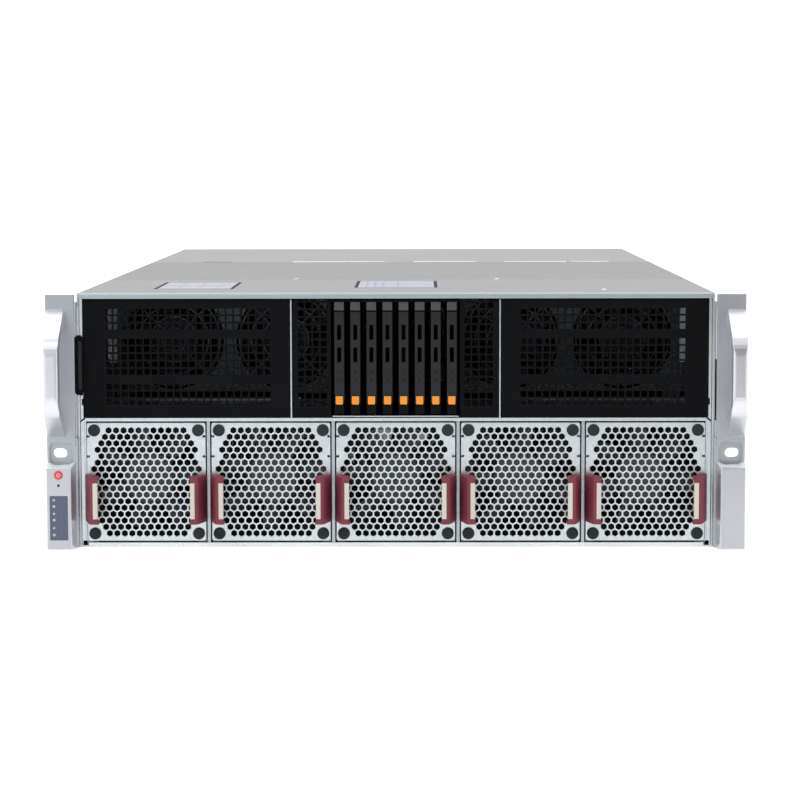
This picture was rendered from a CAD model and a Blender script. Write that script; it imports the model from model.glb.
"""Looks of a rack server four units high: materials for its CAD nodes, small trim, floor, light, camera."""

import math

import bmesh
import bpy
import numpy as np
from mathutils import Matrix, Vector

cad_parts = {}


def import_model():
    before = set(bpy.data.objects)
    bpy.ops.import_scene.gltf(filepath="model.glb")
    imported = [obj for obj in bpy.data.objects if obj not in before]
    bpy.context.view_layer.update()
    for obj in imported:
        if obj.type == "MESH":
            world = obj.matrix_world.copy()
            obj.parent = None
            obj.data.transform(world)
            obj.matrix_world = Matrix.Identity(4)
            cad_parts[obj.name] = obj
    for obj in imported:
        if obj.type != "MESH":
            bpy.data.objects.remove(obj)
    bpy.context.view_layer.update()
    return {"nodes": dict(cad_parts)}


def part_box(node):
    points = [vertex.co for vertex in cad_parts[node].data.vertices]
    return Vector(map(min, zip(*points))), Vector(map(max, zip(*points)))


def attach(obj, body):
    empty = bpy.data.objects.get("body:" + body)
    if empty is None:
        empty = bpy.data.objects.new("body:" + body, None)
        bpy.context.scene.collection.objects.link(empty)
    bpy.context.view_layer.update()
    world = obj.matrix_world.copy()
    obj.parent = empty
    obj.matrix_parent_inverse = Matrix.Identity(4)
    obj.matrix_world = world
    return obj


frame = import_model()
nodes = frame["nodes"]

# Metres in a millimetre. Sizes below are in millimetres unless they say otherwise.
MM = 0.001
# How far the vent panels' fronts lie behind the front plane, from which every y is counted
PANEL_RECESS = 0.8
# Place of the front plane on the Y axis, in metres
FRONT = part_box("vent_panels")[0].y - PANEL_RECESS * MM
# Top of the lid, and half its width
LID = max(corner[2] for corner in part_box("top_cover_front")) / MM
HALF_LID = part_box("top_cover_front")[1].x / MM
FANS = 5
DRIVES = 8


def at(x, y, z):
    """A point in metres from millimetres, with y counted from the front plane."""
    return Vector((x * MM, FRONT + y * MM, z * MM))


def srgb(red, green, blue):
    """Linear colour from the 0 to 255 values of a screen."""
    shares = (red / 255, green / 255, blue / 255)
    return tuple((c / 12.92 if c <= 0.04045 else ((c + 0.055) / 1.055) ** 2.4) for c in shares) + (1.0,)


# ---------- Materials ----------

# Sockets of the colour inputs and output of a Mix node
MIX_A, MIX_B, MIX_OUT = 6, 7, 2
# Cells of zinc spangle per metre
SPANGLE_SCALE = 420.0
# The part of a noise's values that is used, and how far roughness swings down and up with the grain
NOISE_SPAN = (0.3, 0.7)
ROUGH_DOWN, ROUGH_UP = 0.06, 0.08
# Cosine between a face and its rounded normal where wear begins and where it is full
WEAR_SPAN = (0.99, 0.8)


def add(tree, kind, inputs=None, **settings):
    """A shader node with its settings, and with each named input set or linked."""
    made = tree.nodes.new(kind)
    for key, value in settings.items():
        setattr(made, key, value)
    for key, value in (inputs or {}).items():
        if isinstance(value, bpy.types.NodeSocket):
            tree.links.new(value, made.inputs[key])
        else:
            made.inputs[key].default_value = value
    return made


def mix(tree, factor, a, b, blend="MIX"):
    """Two colours mixed by a factor."""
    return add(
        tree, "ShaderNodeMix", {0: factor, MIX_A: a, MIX_B: b}, data_type="RGBA", blend_type=blend
    ).outputs[MIX_OUT]


def spread(tree, value, low, high, to_low, to_high):
    """Maps a value from one range to another, held inside it."""
    return add(
        tree,
        "ShaderNodeMapRange",
        {"Value": value, "From Min": low, "From Max": high, "To Min": to_low, "To Max": to_high},
    ).outputs["Result"]


def finish(
    name, colour, rough, metal=0.0, mottle=0.08, patch=30.0, grain=900.0, bump=0.02, brush=(1, 1, 1),
    wear=0.0, wear_colour=(210, 210, 210), edge=0.35, spangle=0.0, coat=0.0, level=0.5,
):
    """A finish with a cloudy tone, a fine grain in bump and roughness, rounded worn edges, and zinc spangle.

    patch and grain are the scales of the cloud and of the grain, per metre; bump and edge are in millimetres.
    """
    made = bpy.data.materials.new(name)
    made.use_nodes = True
    tree = made.node_tree
    shader = tree.nodes["Principled BSDF"]
    base = srgb(*colour)
    made.diffuse_color = base
    place = add(tree, "ShaderNodeTexCoord").outputs["Object"]
    stretched = add(tree, "ShaderNodeMapping", {"Vector": place, "Scale": brush}).outputs["Vector"]
    cloud = add(
        tree, "ShaderNodeTexNoise", {"Vector": place, "Scale": patch, "Detail": 5.0, "Roughness": 0.6}
    )
    fine = add(tree, "ShaderNodeTexNoise", {"Vector": stretched, "Scale": grain, "Detail": 3.0})
    tone = spread(tree, cloud.outputs["Fac"], *NOISE_SPAN, 1 - mottle, 1 + mottle)
    grey = add(tree, "ShaderNodeCombineColor", {0: tone, 1: tone, 2: tone}).outputs["Color"]
    paint = mix(tree, 1.0, base, grey, "MULTIPLY")
    if spangle:
        cell = add(tree, "ShaderNodeTexVoronoi", {"Vector": place, "Scale": SPANGLE_SCALE})
        flake = add(tree, "ShaderNodeSeparateColor", {"Color": cell.outputs["Color"]}).outputs[0]
        shine = spread(tree, flake, 0.0, 1.0, 1 - spangle, 1 + spangle)
        crystal = add(tree, "ShaderNodeCombineColor", {0: shine, 1: shine, 2: shine}).outputs["Color"]
        paint = mix(tree, 1.0, paint, crystal, "MULTIPLY")
    rounded = add(tree, "ShaderNodeBevel", {"Radius": edge * MM}, samples=4).outputs["Normal"]
    if wear:
        flat = add(tree, "ShaderNodeNewGeometry").outputs["Normal"]
        bend = add(tree, "ShaderNodeVectorMath", {0: rounded, 1: flat}, operation="DOT_PRODUCT")
        bare = spread(tree, bend.outputs["Value"], *WEAR_SPAN, 0.0, wear)
        ragged = spread(tree, fine.outputs["Fac"], 0.35, 0.6, 0.35, 1.0)
        broken = add(tree, "ShaderNodeMath", {0: bare, 1: ragged}, operation="MULTIPLY").outputs["Value"]
        paint = mix(tree, broken, paint, srgb(*wear_colour))
    tree.links.new(paint, shader.inputs["Base Color"])
    low, high = max(rough - ROUGH_DOWN, 0.02), min(rough + ROUGH_UP, 1.0)
    uneven = spread(tree, fine.outputs["Fac"], *NOISE_SPAN, low, high)
    tree.links.new(uneven, shader.inputs["Roughness"])
    relief = add(
        tree, "ShaderNodeBump",
        {"Height": fine.outputs["Fac"], "Strength": 1.0, "Distance": bump * MM, "Normal": rounded},
    )
    tree.links.new(relief.outputs["Normal"], shader.inputs["Normal"])
    shader.inputs["Metallic"].default_value = metal
    shader.inputs["Specular IOR Level"].default_value = level
    shader.inputs["Coat Weight"].default_value = coat
    return made


STEEL = finish(
    "zinc_steel", (205, 212, 215), 0.36, metal=0.85, mottle=0.05, spangle=0.05, grain=1500, bump=0.006,
    wear=0.8, wear_colour=(250, 251, 253),
)
STEEL_DIM = finish(
    "zinc_steel_fold", (175, 185, 190), 0.36, metal=0.85, mottle=0.05, spangle=0.05, grain=1500, bump=0.006,
    wear=0.8, wear_colour=(235, 240, 243),
)
STEEL_DULL = finish(
    "zinc_steel_inside", (132, 140, 141), 0.45, metal=0.8, mottle=0.08, spangle=0.06, grain=1200, bump=0.006,
)
COVER = finish(
    "cover_sheet", (141, 141, 142), 0.42, metal=0.55, mottle=0.04, patch=12, grain=1400, bump=0.008,
    brush=(0.05, 1, 1), wear=0.6, wear_colour=(226, 228, 228), edge=0.5,
)
COVER_REAR = finish(
    "cover_sheet_rear", (160, 160, 160), 0.42, metal=0.55, mottle=0.04, patch=12, grain=1400, bump=0.008,
    brush=(0.05, 1, 1), wear=0.6, wear_colour=(230, 231, 231), edge=0.5,
)
SILVER = finish(
    "silver_paint", (210, 211, 216), 0.33, metal=0.8, mottle=0.03, grain=2600, bump=0.01, coat=0.15,
    wear=0.25, wear_colour=(240, 240, 245), edge=0.8,
)
SILVER_FACE = finish(
    "silver_paint_console", (186, 188, 194), 0.38, metal=0.65, mottle=0.03, grain=2600, bump=0.01, coat=0.15,
    wear=0.25, wear_colour=(240, 240, 245), edge=0.8,
)
SILVER_BACK = finish(
    "silver_paint_flange", (172, 176, 181), 0.4, metal=0.7, mottle=0.05, grain=2600, bump=0.012, wear=0.4,
    wear_colour=(225, 227, 232), edge=0.6,
)
BLACK = finish(
    "black_powder", (9, 10, 12), 0.6, mottle=0.2, grain=2400, bump=0.03, wear=0.15, wear_colour=(50, 52, 56),
    edge=0.3, level=0.08,
)
LIP = finish(
    "cover_lip", (170, 182, 185), 0.34, metal=0.4, mottle=0.03, grain=1400, bump=0.006, edge=0.5,
)
BRIGHT = finish(
    "bare_edge", (236, 243, 244), 0.3, metal=0.3, mottle=0.03, grain=1400, bump=0.005, edge=0.3,
)
MIRROR = finish(
    "bright_plating", (250, 252, 252), 0.12, metal=1.0, mottle=0.02, grain=1400, bump=0.002, edge=0.3,
)
STRIP = finish(
    "cover_front_strip", (150, 151, 153), 0.42, metal=0.55, mottle=0.04, patch=12, grain=1400, bump=0.008,
    brush=(0.05, 1, 1), edge=0.3,
)
PLUG = finish(
    "plug_rubber", (42, 47, 50), 0.66, mottle=0.16, grain=1800, bump=0.02, edge=0.5, wear=0.2,
    wear_colour=(90, 92, 98), level=0.2,
)
FAN_BLACK = finish(
    "fan_frame_plastic", (22, 22, 25), 0.45, mottle=0.15, grain=1600, bump=0.012, edge=0.4, level=0.2,
)
FAN_GREY = finish(
    "rotor_plastic", (88, 91, 97), 0.4, mottle=0.12, grain=1600, bump=0.01, edge=0.4, level=0.3,
)
MAROON = finish(
    "maroon_plastic", (124, 58, 70), 0.5, mottle=0.08, grain=1500, bump=0.012, edge=0.6, wear=0.25,
    wear_colour=(165, 84, 96), level=0.3,
)
CREAM = finish("cream_grip", (214, 209, 199), 0.55, mottle=0.04, grain=1200, bump=0.02, edge=0.6)
CARRIER = finish(
    "carrier_plastic", (64, 65, 67), 0.45, mottle=0.08, grain=1800, bump=0.012, edge=0.35, wear=0.3,
    wear_colour=(110, 112, 118),
)
LEVER = finish(
    "lever_plastic", (24, 25, 28), 0.5, mottle=0.1, grain=1800, bump=0.012, edge=0.35, wear=0.3,
    wear_colour=(78, 80, 86), level=0.3,
)
DRIVE = finish(
    "drive_case", (120, 123, 126), 0.38, metal=0.8, mottle=0.06, grain=1400, bump=0.006, brush=(1, 0.05, 1),
)
ORANGE = finish(
    "orange_plastic", (250, 150, 28), 0.35, mottle=0.04, grain=1500, bump=0.006, edge=0.5, coat=0.2,
    wear=0.6, wear_colour=(255, 205, 130),
)
RED = finish("red_plastic", (232, 48, 58), 0.3, mottle=0.03, grain=1500, bump=0.004, edge=0.6, coat=0.3)
WINDOW = finish(
    "window_film", (72, 82, 104), 0.28, mottle=0.04, grain=900, bump=0.004, edge=0.2, coat=0.3,
)
BOARD = finish(
    "circuit_board", (22, 74, 44), 0.4, mottle=0.15, patch=220, grain=700, bump=0.03, coat=0.2,
)
SINK = finish("heatsink_aluminium", (205, 207, 210), 0.32, metal=0.9, mottle=0.04, grain=1500, bump=0.005)
SHROUD = finish(
    "card_shroud", (38, 39, 42), 0.4, metal=0.3, mottle=0.1, grain=1800, bump=0.015, wear=0.3,
    wear_colour=(90, 92, 96),
)
SOCKET = finish("socket_plastic", (26, 27, 30), 0.45, mottle=0.1, grain=1500, bump=0.01)
FILM = finish(
    "label_film", (166, 170, 188), 0.35, mottle=0.02, grain=900, bump=0.003, edge=0.1, coat=0.2,
)
FILM_BAR = finish(
    "label_bar", (38, 34, 66), 0.6, mottle=0.06, grain=900, bump=0.003, edge=0.1, level=0.1,
)
FILM_RULE = finish("label_rule", (120, 118, 164), 0.5, mottle=0.06, grain=900, bump=0.003, edge=0.1)
MARK = finish("printed_mark", (212, 214, 222), 0.5, mottle=0.05, grain=1200, bump=0.004, edge=0.1)
GUARD = finish("guard_wire", (104, 107, 110), 0.34, metal=0.85, mottle=0.05, grain=1500, bump=0.004)


# ---------- Painting the CAD nodes ----------

X, Y, Z = 0, 1, 2
# How squarely a flat face looks along an axis, how much a sloped one does, and a side wall at most
SQUARE, SLOPED, ASIDE = 0.9, 0.3, 0.5
# Limits between painted areas lie a little past the forms that they bound. Depth of the front's faces:
FRONT_D = 2
# Bottom bar and partitions: their heights, and how far the partitions stand from the middle
BAR_TOP = 4
PARTITION_TOP = 84
PARTITIONS_X = 200
# Bar over the vent panels: where its black paint starts, and how far that reaches from the middle
TOP_BAR_Z = LID - 5
TOP_BAR_X = 212
# How near the lid's side edges the body's side walls lie, and the depth of the lid's front lip
SIDE_D = 3
LIP_D = 3
# Ears: flanges' thickness, and how far forward what stands on them, a console and its slope start and reach
EAR_T = 5.0
FLANGE_Y = -EAR_T - 0.3
CONSOLE_Y = -EAR_T - 2
CONSOLE_TOP = 62
SLOPE_TOP = 60
SLOPE_Y = -13
# Place and reach of the reset pinhole, which lies under the power button
PINHOLE_X = sum(corner.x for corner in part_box("power_button")) / 2 / MM
PINHOLE_Z = 45.0
PINHOLE_R = 1
# Drives: depth of the carriers and of the cases' front ends, top of the buttons, and where the slots lie
CARRIER_D = 10
CASE_FRONT_D = 25
BUTTON_TOP = max(corner[2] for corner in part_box("drive_button_1")) / MM
SLOT_HALF = 1.7
SLOTS_Z = (120, 158)
# Sizes that tell a node's solids apart: least widths, heights and depths, then greatest ones
BOARD_W = 300
FAN_WALL_W = 200
SINK_H = 50
INLET_H = 20
BACKPLANE_Y = 100
JACKS_Y = 790
WINDOW_D = 2
GUARD_D = 3
STANDOFF_H = 8
CARD_SOCKET_H = 10
SUPPLY_FITTING_D = 40
PLUG_W = 10
FAN_D = 50
GRIP_H = 30


def solids_of(obj):
    """The number of each face's solid, and each solid's lowest and highest corner in millimetres."""
    mesh = obj.data
    points = np.empty(len(mesh.vertices) * 3, np.float32)
    mesh.vertices.foreach_get("co", points)
    points = points.reshape(-1, 3).astype(float) / MM - np.array((0, FRONT / MM, 0))
    spot = np.unique(np.round(points * 1000).astype(np.int64), axis=0, return_inverse=True)[1].ravel()
    corners = np.empty(len(mesh.loops), np.int32)
    mesh.loops.foreach_get("vertex_index", corners)
    starts = np.empty(len(mesh.polygons), np.int32)
    mesh.polygons.foreach_get("loop_start", starts)
    counts = np.empty(len(mesh.polygons), np.int32)
    mesh.polygons.foreach_get("loop_total", counts)
    corner = spot[corners]
    first = np.repeat(corner[starts], counts)
    tag = np.arange(spot.max() + 1)
    while True:
        low = np.minimum(tag[first], tag[corner])
        new = tag.copy()
        np.minimum.at(new, first, low)
        np.minimum.at(new, corner, low)
        new = new[new]
        if np.array_equal(new, tag):
            break
        tag = new
    solids, number = np.unique(tag[corner[starts]], return_inverse=True)
    owner = tag[spot]
    boxes = [(points[owner == s].min(0), points[owner == s].max(0)) for s in solids]
    return number.ravel(), boxes


def under(axis, limit):
    """A test for solids that measure less than a limit along an axis."""
    return lambda low, high: high[axis] - low[axis] < limit


def over(axis, limit):
    """A test for solids that measure more than a limit along an axis."""
    return lambda low, high: high[axis] - low[axis] > limit


def behind(y):
    """A test for solids that lie behind a plane."""
    return lambda low, high: low[Y] > y


def paint(name, default, *rules):
    """Gives a CAD node its materials: each solid gets that of the first rule whose test its box passes."""
    obj = nodes[name]
    finishes = [default] + [rule[0] for rule in rules]
    obj.data.materials.clear()
    for made in finishes:
        obj.data.materials.append(made)
    chosen = np.zeros(len(obj.data.polygons), np.int32)
    if rules:
        number, boxes = solids_of(obj)
        index = [next((k + 1 for k, rule in enumerate(rules) if rule[1](*box)), 0) for box in boxes]
        chosen = np.array(index, np.int32)[number]
    obj.data.polygons.foreach_set("material_index", chosen)
    obj.data.update()


def paint_faces(name, made, test, main_only=False):
    """Gives the faces that pass test(centre, normal) another material, or only those of the main one."""
    obj = nodes[name]
    obj.data.materials.append(made)
    last = len(obj.data.materials) - 1
    for face in obj.data.polygons:
        if main_only and face.material_index:
            continue
        c = face.center / MM
        if test(Vector((c.x, c.y - FRONT / MM, c.z)), face.normal):
            face.material_index = last


def paint_front(name, made, test):
    """The same for the flat faces at the front of a node, by their centre alone."""
    paint_faces(name, made, lambda c, normal: c.y < FRONT_D and normal.y < -SQUARE and test(c))


def paint_chassis():
    """Zinc all over, with darker partitions, sides and rear, a bright bottom bar and a black top bar."""
    paint("chassis", STEEL)
    paint_front("chassis", STEEL_DIM, lambda c: BAR_TOP < c.z < PARTITION_TOP and abs(c.x) < PARTITIONS_X)
    paint_front("chassis", BRIGHT, lambda c: c.z < BAR_TOP)
    paint_front("chassis", BLACK, lambda c: c.z > TOP_BAR_Z and abs(c.x) < TOP_BAR_X)
    paint_faces(
        "chassis", STEEL_DIM,
        lambda c, normal: normal.y > SQUARE or (abs(normal.x) > SQUARE and abs(c.x) > HALF_LID - SIDE_D),
    )


def paint_covers():
    """The two sheets of the lid, with a smooth front lip and bright fronts on the rear one's grips."""
    paint("top_cover_front", COVER)
    paint("top_cover_rear", COVER_REAR)
    paint_faces("top_cover_front", LIP, lambda c, normal: c.y < LIP_D and normal.y < -SLOPED)
    paint_faces("top_cover_rear", BRIGHT, lambda c, normal: c.z > LID + 0.1 and normal.y < -SLOPED)


def paint_ears():
    """Silver handles and consoles, a darker flange behind them, the indicator window and the pinhole."""
    paint("ear_left", SILVER, (WINDOW, under(Y, WINDOW_D)))
    paint("ear_right", SILVER)
    paint_faces(
        "ear_left", BLACK,
        lambda c, normal: math.hypot(c.x - PINHOLE_X, c.z - PINHOLE_Z) < PINHOLE_R and c.y < -EAR_T,
    )
    for name in ("ear_left", "ear_right"):
        paint_faces(name, SILVER_BACK, lambda c, normal: c.y > FLANGE_Y)
        paint_faces(
            name, SILVER_FACE,
            lambda c, normal: c.y < CONSOLE_Y and normal.y < -SQUARE and c.z < CONSOLE_TOP, main_only=True,
        )
        paint_faces(
            name, BRIGHT,
            lambda c, normal: SLOPE_Y < c.y < FLANGE_Y and normal.z > ASIDE and c.z < SLOPE_TOP,
        )
    paint("power_button", RED)


def paint_inside():
    """The black fronts, the upper fans, the boards, the cards and the power supplies."""
    paint("vent_panels", BLACK)
    paint("drive_cage", BLACK, (BOARD, behind(BACKPLANE_Y)))
    paint("upper_fan_frames", FAN_BLACK, (STEEL_DULL, over(X, FAN_WALL_W)), (GUARD, under(Y, GUARD_D)))
    paint(
        "mainboard", SOCKET, (BOARD, over(X, BOARD_W)), (SINK, over(Z, SINK_H)),
        (STEEL_DULL, lambda low, high: high[Y] > JACKS_Y or high[Z] - low[Z] < STANDOFF_H),
    )
    paint("accelerator_cards", SHROUD, (BOARD, over(X, BOARD_W)), (SOCKET, under(Z, CARD_SOCKET_H)))
    paint(
        "power_supplies", STEEL,
        (SOCKET, lambda low, high: high[Y] - low[Y] < SUPPLY_FITTING_D and high[Z] - low[Z] > INLET_H),
        (MAROON, under(Y, SUPPLY_FITTING_D)),
    )


def paint_fans():
    """The fan modules with their plugs, frames, rotors and release tabs, and the upper rotors."""
    for i in range(1, FANS + 1):
        paint(f"fan_module_{i}", STEEL, (PLUG, under(X, PLUG_W)), (FAN_BLACK, under(Y, FAN_D)))
        paint(f"fan_rotor_{i}", FAN_GREY)
        for side in ("left", "right"):
            paint(f"fan_tab_{side}_{i}", MAROON, (CREAM, under(Z, GRIP_H)))
        if f"upper_rotor_{i}" in nodes:
            paint(f"upper_rotor_{i}", FAN_GREY)


def paint_drives():
    """The drives, with black round their buttons, on their cases' fronts and in their levers' slots."""
    for i in range(1, DRIVES + 1):
        paint(f"drive_{i}", CARRIER, (DRIVE, behind(CARRIER_D)))
        middle = sum(corner.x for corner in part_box(f"drive_button_{i}")) / 2 / MM
        paint_faces(f"drive_{i}", BLACK, lambda c, normal: c.z < BUTTON_TOP and c.y < CARRIER_D)
        paint_faces(
            f"drive_{i}", BLACK, lambda c, normal: CARRIER_D < c.y < CASE_FRONT_D and normal.y < -ASIDE
        )
        paint(f"drive_lever_{i}", LEVER)
        for name in (f"drive_{i}", f"drive_lever_{i}"):
            paint_faces(
                name, BLACK,
                lambda c, normal: abs(c.x - middle) < SLOT_HALF and abs(normal.y) < ASIDE
                and SLOTS_Z[0] < c.z < SLOTS_Z[1] and c.y < CARRIER_D,
            )
        paint(f"drive_button_{i}", ORANGE)


paint_chassis()
paint_covers()
paint_ears()
paint_inside()
paint_fans()
paint_drives()
for obj in nodes.values():
    for face in obj.data.polygons:
        face.use_smooth = False


# ---------- Small trim ----------

# How far a piece reaches into what it lies on
SUNK = 0.05
# The lid's front sheet: thickness, front and rear edge, room at the sides, and its hem's place and height
STRIP_T = 0.3
STRIP_FROM = 0.4
STRIP_D = 180
STRIP_EDGE = 1.5
HEM_Y = (-0.35, 0.5)
HEM_H = 1.5
# Screws on the lid, by their place, and a screw head's radius and height
SCREWS = ((-77.6, STRIP_D + 9), (75.7, STRIP_D + 9), (146, 31))
SCREW_R = 2.4
SCREW_H = 1.0
# Stickers: the film's thickness, how far prints are sunk into it and stand out of it, and their widths
LABEL_T = 0.12
PRINT_SUNK = 0.02
PRINT_T = 0.03
BAR_W = 2.4
RULE_W = 0.5
ROW_W = 2.4
RULE_MARGIN = 3
# How much higher bars and rows are printed than the rules that they cross
BAR_RISE = 0.01
ROW_RISE = 0.005
# Least height of an accelerator card, and the wall inside it: half its thickness and its room at the edges
ACCELERATOR_H = 80
CORE_HALF = 1
CORE_EDGE = 2
# Folded edges of the shelf behind the vent panels and under the drives
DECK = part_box("drive_cage")[0].z / MM
FOLD_X = (72, 214)
FOLD_Y = (128.5, 130)
FOLD_Z = (DECK - 0.1, DECK + 2.0)
SILL_HALF = 43.5
SILL_Y = (-0.5, 0.4)
SILL_Z = (DECK + 0.9, DECK + 1.5)
# Brackets on the side walls, whose inner faces stand at WALL_X: thickness, width, front, depth and height
WALL_X = HALF_LID - 2.6
BRACKET_T = 0.8
BRACKET_W = 8
BRACKET_Y = 143
BRACKET_D = 27
BRACKET_Z = (117, 158.5)
# The latch and its pull beside the left vent panel, and the edge beside the right one, each by x, y and z
LATCH = ((-221.6, -216.2), (-2.0, 0.3), (106.6, 147.8))
LATCH_R = 2.2
PULL = ((-219.2, -216.9), (-2.6, -1.9), (110.5, 144))
PULL_R = 0.8
EDGE = ((220.7, 221.9), (-0.6, 0.3), (88.5, 131))
# The power symbol: thickness, the ring's gap in degrees and its radii, and the stroke's width and reach
SYMBOL_T = 0.06
SYMBOL_GAP = 70
SYMBOL_R = (1.35, 0.95)
STROKE_W = 0.4
STROKE_Z = (0.3, 1.5)
# Marks in the indicator window: heights, place beside and behind the power button's face, thickness, radii,
# the share of a radius that is open, and which marks have eight corners
MARKS_Z = (34.8, 30.5, 25.4, 21.0, 15.4, 10.6)
MARKS_ASIDE, MARKS_BEHIND = 3.4, 0.72
MARK_T = 0.05
SMALL_MARK, LARGE_MARK = 0.8, 0.95
MARK_HOLE = 0.35
OCTAGONS = (1, 4)


def placed(name, data):
    """A new object of the scene."""
    made = bpy.data.objects.new(name, data)
    bpy.context.scene.collection.objects.link(made)
    return made


def piece(name, bm, body, slot, *materials):
    """Makes a new piece of the server from its faces, with its materials, its body and its finish slot."""
    bmesh.ops.recalc_face_normals(bm, faces=bm.faces)
    mesh = bpy.data.meshes.new(name)
    bm.to_mesh(mesh)
    bm.free()
    made = placed(name, mesh)
    for material in materials:
        mesh.materials.append(material)
    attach(made, body)


def slab(bm, x, y, z, material=0):
    """A thin closed box between pairs of millimetres, with y counted from the front plane."""
    a, b = [[[bm.verts.new(at(i, j, k)) for k in z] for j in y] for i in x]
    quads = (
        (a[0][0], a[0][1], a[1][1], a[1][0]), (b[0][0], b[1][0], b[1][1], b[0][1]),
        (a[0][0], b[0][0], b[0][1], a[0][1]), (a[1][0], a[1][1], b[1][1], b[1][0]),
        (a[0][0], a[1][0], b[1][0], b[0][0]), (a[0][1], b[0][1], b[1][1], a[1][1]),
    )
    for quad in quads:
        bm.faces.new(quad).material_index = material


def disc(bm, centre, radius, inner, depth, sides=32, gap=0.0):
    """A raised ring that faces the front; gap is the angle left open at its top."""
    x, y, z = centre
    count = sides + 1 if gap else sides
    angles = [math.radians(90 + gap / 2 + (360 - gap) * k / sides) for k in range(count)]
    rim = [
        [bm.verts.new(at(x + r * math.cos(a), yy, z + r * math.sin(a))) for a in angles]
        for r, yy in ((radius, y), (radius, y - depth), (inner, y - depth), (inner, y))
    ]
    for k in range(sides):
        n = (k + 1) % count
        for one, two in zip(rim, rim[1:] + rim[:1]):
            bm.faces.new((one[k], one[n], two[n], two[k]))
    if gap:
        for k in (0, -1):
            bm.faces.new([ring[k] for ring in rim])


def button(bm, centre, radius, height, sides=24):
    """A domed screw head that stands on the lid."""
    x, y, z = centre
    turns = [2 * math.pi * k / sides for k in range(sides)]
    profile = (
        (radius, -SUNK), (radius, height * 0.4), (radius * 0.7, height * 0.85), (radius * 0.3, height)
    )
    rings = [
        [bm.verts.new(at(x + r * math.cos(t), y + r * math.sin(t), z + up)) for t in turns]
        for r, up in profile
    ]
    for low, high in zip(rings, rings[1:]):
        for k in range(sides):
            n = (k + 1) % sides
            bm.faces.new((low[k], low[n], high[n], high[k]))
    bm.faces.new(rings[0])
    bm.faces.new(rings[-1])


def bar(bm, x, y, z, corner, material=0, steps=5):
    """An upright bar with rounded corners in front view."""
    outline = []
    for cx, cz, start in (
        (x[1] - corner, z[1] - corner, 0), (x[0] + corner, z[1] - corner, 90),
        (x[0] + corner, z[0] + corner, 180), (x[1] - corner, z[0] + corner, 270),
    ):
        for k in range(steps + 1):
            turn = math.radians(start + 90 * k / steps)
            outline.append((cx + corner * math.cos(turn), cz + corner * math.sin(turn)))
    front = [bm.verts.new(at(i, y[0], k)) for i, k in outline]
    back = [bm.verts.new(at(i, y[1], k)) for i, k in outline]
    bm.faces.new(front).material_index = material
    bm.faces.new(back).material_index = material
    for k in range(len(outline)):
        n = (k + 1) % len(outline)
        bm.faces.new((front[k], front[n], back[n], back[k])).material_index = material


def lid_strip():
    """The lid's front sheet over the one behind it, with a bright hem along its front edge."""
    bm = bmesh.new()
    half = HALF_LID - STRIP_EDGE
    slab(bm, (-half, half), (STRIP_FROM, STRIP_D), (LID - SUNK, LID + STRIP_T))
    slab(bm, (-half, half), HEM_Y, (LID - HEM_H, LID + STRIP_T), 1)
    piece("lid_front_sheet", bm, "root", "cover", STRIP, BRIGHT)


def lid_screws():
    """Three button-head screws: two behind the front sheet, and one on it at the front right."""
    bm = bmesh.new()
    for x, y in SCREWS:
        button(bm, (x, y, LID + (STRIP_T if y < STRIP_D else 0)), SCREW_R, SCREW_H)
    piece("lid_screws", bm, "root", "steel", STEEL)


def label(name, x, y, columns, rows):
    """A blank sticker on the lid: a pale film with a dark bar at each end and a faint ruled grid."""
    bm = bmesh.new()
    base = LID + STRIP_T
    low, high = base + LABEL_T - PRINT_SUNK, base + LABEL_T + PRINT_T
    between = (x[0] + BAR_W, x[1] - BAR_W)
    inside = (y[0] + RULE_MARGIN, y[1] - RULE_MARGIN)
    slab(bm, x, y, (base - PRINT_SUNK, base + LABEL_T))
    for start in (x[0], x[1] - BAR_W):
        slab(bm, (start, start + BAR_W), y, (low, high + BAR_RISE), 1)
    for share in columns:
        middle = x[0] + share * (x[1] - x[0])
        slab(bm, (middle - RULE_W / 2, middle + RULE_W / 2), inside, (low, high), 2)
    for share in rows:
        middle = y[0] + share * (y[1] - y[0])
        slab(bm, between, (middle - ROW_W / 2, middle + ROW_W / 2), (low, high + ROW_RISE), 2)
    piece(name, bm, "root", "cover", FILM, FILM_BAR, FILM_RULE)


def console_trim():
    """The ring symbol on the power button and the pale marks of the indicator window."""
    low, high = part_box("power_button")
    x, y, z = (low.x + high.x) / 2 / MM, (low.y - FRONT) / MM, (low.z + high.z) / 2 / MM
    bm = bmesh.new()
    disc(bm, (x, y, z), *SYMBOL_R, SYMBOL_T, gap=SYMBOL_GAP)
    slab(bm, (x - STROKE_W / 2, x + STROKE_W / 2), (y - SYMBOL_T, y), (z + STROKE_Z[0], z + STROKE_Z[1]))
    piece("power_mark", bm, "power_button", "power_red", MARK)
    bm = bmesh.new()
    for k, height in enumerate(MARKS_Z):
        size = LARGE_MARK if k % 2 else SMALL_MARK
        disc(
            bm, (x - MARKS_ASIDE, y + MARKS_BEHIND, height), size, size * MARK_HOLE, MARK_T,
            sides=8 if k in OCTAGONS else 20,
        )
    piece("window_marks", bm, "root", "ear", MARK)


def card_blocks():
    """A closed wall halfway along each accelerator card, where its heat sink lets no light through."""
    bm = bmesh.new()
    for low, high in solids_of(nodes["accelerator_cards"])[1]:
        if high[Z] - low[Z] > ACCELERATOR_H:
            middle = (low[Y] + high[Y]) / 2
            slab(
                bm, (low[X] + CORE_EDGE, high[X] - CORE_EDGE), (middle - CORE_HALF, middle + CORE_HALF),
                (low[Z] + CORE_EDGE, high[Z] - CORE_EDGE),
            )
    piece("card_blocks", bm, "root", "card", SHROUD)


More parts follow.
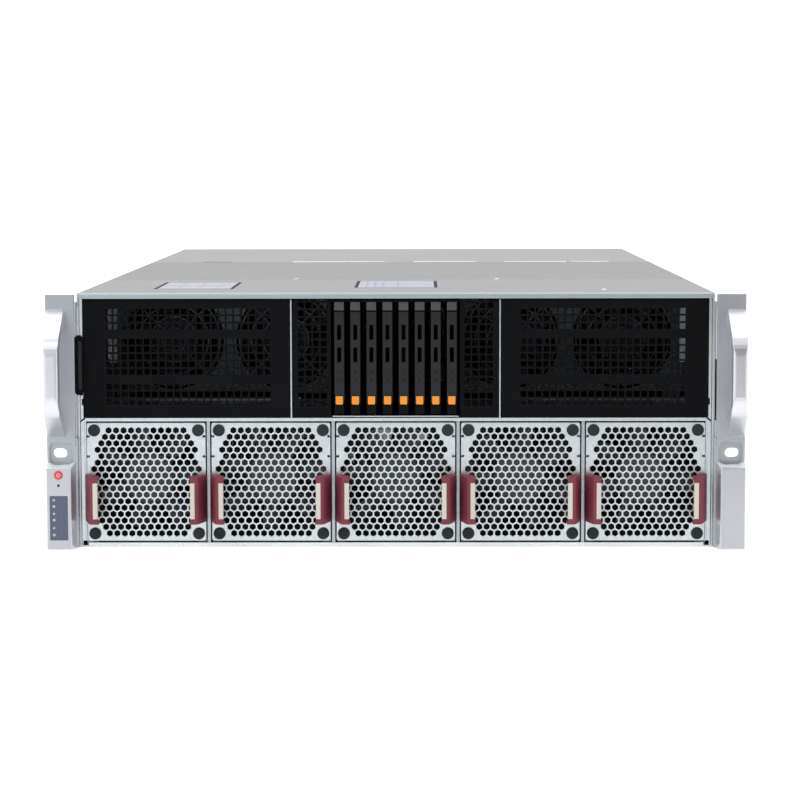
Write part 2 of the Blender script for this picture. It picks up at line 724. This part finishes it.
def release_latch():
    """The dark release latch beside the left vent panel, and the thin dark edge beside the right one."""
    bm = bmesh.new()
    bar(bm, *LATCH, LATCH_R)
    bar(bm, *PULL, PULL_R, 1)
    slab(bm, *EDGE)
    piece("release_latch", bm, "root", "black_steel", BLACK, LEVER)


def side_brackets():
    """The bright folded bracket on each side wall, in front of the upper fans."""
    bm = bmesh.new()
    leaves = (
        ((WALL_X - BRACKET_W, WALL_X), (BRACKET_Y, BRACKET_Y + BRACKET_T)),
        ((WALL_X - BRACKET_T, WALL_X), (BRACKET_Y, BRACKET_Y + BRACKET_D)),
    )
    for side in (-1, 1):
        for x, y in leaves:
            slab(bm, (x if side > 0 else (-x[1], -x[0])), y, BRACKET_Z)
    piece("side_brackets", bm, "root", "steel", MIRROR)


def shelf_folds():
    """The bright folded edges of the shelf: behind each vent panel, and under the drives."""
    bm = bmesh.new()
    for x in ((-FOLD_X[1], -FOLD_X[0]), FOLD_X):
        slab(bm, x, FOLD_Y, FOLD_Z)
    slab(bm, (-SILL_HALF, SILL_HALF), SILL_Y, SILL_Z)
    piece("shelf_folds", bm, "root", "steel", STEEL)


lid_strip()
lid_screws()
label(
    "lid_label_left", x=(-172, -115.5), y=(49, 139),
    columns=(0.3, 0.55, 0.78), rows=(0.04, 0.5, 0.96),
)
label(
    "lid_label_middle", x=(-30, 29.5), y=(65, 158),
    columns=(0.14, 0.24, 0.34, 0.52), rows=(0.04, 0.35, 0.62, 0.96),
)
console_trim()
card_blocks()
release_latch()
side_brackets()
shelf_folds()


# ---------- Floor, light and camera, in metres ----------

WHITE = (1.0, 1.0, 1.0, 1.0)
COOL_GREY = (0.64, 0.68, 0.75, 1.0)
DARK_GREY = (0.04, 0.04, 0.04, 1.0)
PAPER = (0.9, 0.9, 0.9, 1.0)
# Strength of the surroundings on what they light, where no ray shows them
DIM = 0.55
# The paper's glow near the server and far from it, and the distances between which it grows
GLOW_NEAR, GLOW_FAR = 0.68, 1.0
GLOW_FROM, GLOW_TO = 0.7, 3.0
FLOOR_HALF = 30
FLOOR_DROP = 0.2 * MM
# Studio cards: left end, meeting line and right end, place of the upright ones and height of the flat ones
CARD_LEFT, CARD_MEET, CARD_RIGHT = -4.2, -0.2, 4.4
CARD_Y = -4.6
CARD_Z = 0.002
# The camera's place, its turns in degrees, and its lens and sensor in millimetres
CAMERA_AT = (0.017, -2.1335, 0.273)
CAMERA_DOWN = 5.60
CAMERA_LEFT = 0.46
CAMERA_ROLL = -0.10
CAMERA_LENS = 113.4
SENSOR_W = 36.0
CLIP_START = 0.05


def bare_tree(owner):
    """The emptied node tree of a material or a world."""
    owner.use_nodes = True
    owner.node_tree.nodes.clear()
    return owner.node_tree


def sheet(name, corners, material):
    """A flat sheet of the studio between four corners."""
    mesh = bpy.data.meshes.new(name)
    mesh.from_pydata(corners, [], [(0, 1, 2, 3)])
    mesh.materials.append(material)
    return placed(name, mesh)


def seen_rays(tree):
    """1 for the rays that show a background: those of the camera, and those in gloss and glass."""
    ray = add(tree, "ShaderNodeLightPath").outputs
    first = add(
        tree, "ShaderNodeMath", {0: ray["Is Camera Ray"], 1: ray["Is Glossy Ray"]}, operation="MAXIMUM"
    ).outputs[0]
    return add(
        tree, "ShaderNodeMath", {0: first, 1: ray["Is Transmission Ray"]}, operation="MAXIMUM"
    ).outputs[0]


def floor():
    """A pale paper floor that keeps the shadow, and that the camera sees fade to white around the server."""
    paper = bpy.data.materials.new("floor_paper")
    tree = bare_tree(paper)
    seen = seen_rays(tree)
    place = add(tree, "ShaderNodeTexCoord").outputs["Object"]
    reach = add(tree, "ShaderNodeVectorMath", {0: place}, operation="LENGTH").outputs["Value"]
    glow = spread(tree, reach, GLOW_FROM, GLOW_TO, GLOW_NEAR, GLOW_FAR)
    strength = add(tree, "ShaderNodeMath", {0: glow, 1: seen}, operation="MULTIPLY").outputs[0]
    matt = add(tree, "ShaderNodeBsdfDiffuse", {"Color": PAPER}).outputs[0]
    light = add(tree, "ShaderNodeEmission", {"Color": WHITE, "Strength": strength}).outputs[0]
    both = add(tree, "ShaderNodeAddShader", {0: matt, 1: light}).outputs[0]
    add(tree, "ShaderNodeOutputMaterial", {"Surface": both})
    corners = ((-1, -1), (1, -1), (1, 1), (-1, 1))
    made = sheet("floor", [(FLOOR_HALF * x, FLOOR_HALF * y, 0) for x, y in corners], paper)
    made.location.z = -FLOOR_DROP


def world():
    """White surroundings where a ray shows them, and a dimmer light on everything else."""
    made = bpy.data.worlds.new("studio")
    bpy.context.scene.world = made
    tree = bare_tree(made)
    dim = add(tree, "ShaderNodeBackground", {"Color": WHITE, "Strength": DIM}).outputs[0]
    white = add(tree, "ShaderNodeBackground", {"Color": WHITE, "Strength": 1.0}).outputs[0]
    both = add(tree, "ShaderNodeMixShader", {0: seen_rays(tree), 1: dim, 2: white}).outputs[0]
    add(tree, "ShaderNodeOutputWorld", {"Surface": both})


def card(name, low, high, shade):
    """A flat studio card that only shows in reflections: it gives bare metal its darker tones."""
    cloth = bpy.data.materials.new(name)
    tree = bare_tree(cloth)
    glow = add(tree, "ShaderNodeEmission", {"Color": shade, "Strength": 1.0}).outputs[0]
    add(tree, "ShaderNodeOutputMaterial", {"Surface": glow})
    one, two = Vector(low), Vector(high)
    across = Vector((two.x - one.x, 0, 0))
    made = sheet(name, [one, one + across, two, two - across], cloth)
    made.visible_camera = False
    made.visible_diffuse = False
    made.visible_transmission = False
    made.visible_shadow = False


def lamp(name, place, target, size, power):
    """A rectangular lamp at a place, turned to its target, with its power in watts."""
    data = bpy.data.lights.new(name, "AREA")
    data.shape = "RECTANGLE"
    data.size, data.size_y = size
    data.energy = power
    made = placed(name, data)
    made.location = place
    made.rotation_euler = (Vector(target) - Vector(place)).to_track_quat("-Z", "Y").to_euler()


def camera():
    """The camera, a little above the front and looking down."""
    data = bpy.data.cameras.new("camera")
    data.lens = CAMERA_LENS
    data.sensor_width = SENSOR_W
    data.clip_start = CLIP_START
    made = placed("camera", data)
    turn = (
        Matrix.Rotation(math.radians(CAMERA_LEFT), 4, "Z")
        @ Matrix.Rotation(math.radians(90 - CAMERA_DOWN), 4, "X")
        @ Matrix.Rotation(math.radians(CAMERA_ROLL), 4, "Z")
    )
    made.matrix_world = Matrix.Translation(CAMERA_AT) @ turn
    bpy.context.scene.camera = made


floor()
world()
card("wall_left", (CARD_LEFT, CARD_Y, 0.0), (CARD_MEET, CARD_Y, 2.2), COOL_GREY)
card("wall_right", (CARD_MEET, CARD_Y, 0.0), (CARD_RIGHT, CARD_Y, 3.4), DARK_GREY)
card("studio_floor_left", (CARD_LEFT, CARD_Y, CARD_Z), (CARD_MEET, -1.5, CARD_Z), COOL_GREY)
card("studio_floor_right", (CARD_MEET, CARD_Y, CARD_Z), (CARD_RIGHT, -1.2, CARD_Z), DARK_GREY)
lamp("key", place=(-2.0, -2.2, 2.2), target=(0, -0.3, 0.1), size=(2.4, 2.0), power=47)
lamp("fill", place=(2.4, -1.8, 1.6), target=(0, -0.3, 0.1), size=(1.6, 1.6), power=24)
lamp("top", place=(0.0, 0.1, 2.3), target=(0, 0, 0), size=(2.2, 1.4), power=13)
camera()
bpy.context.scene.view_settings.view_transform = "Standard"
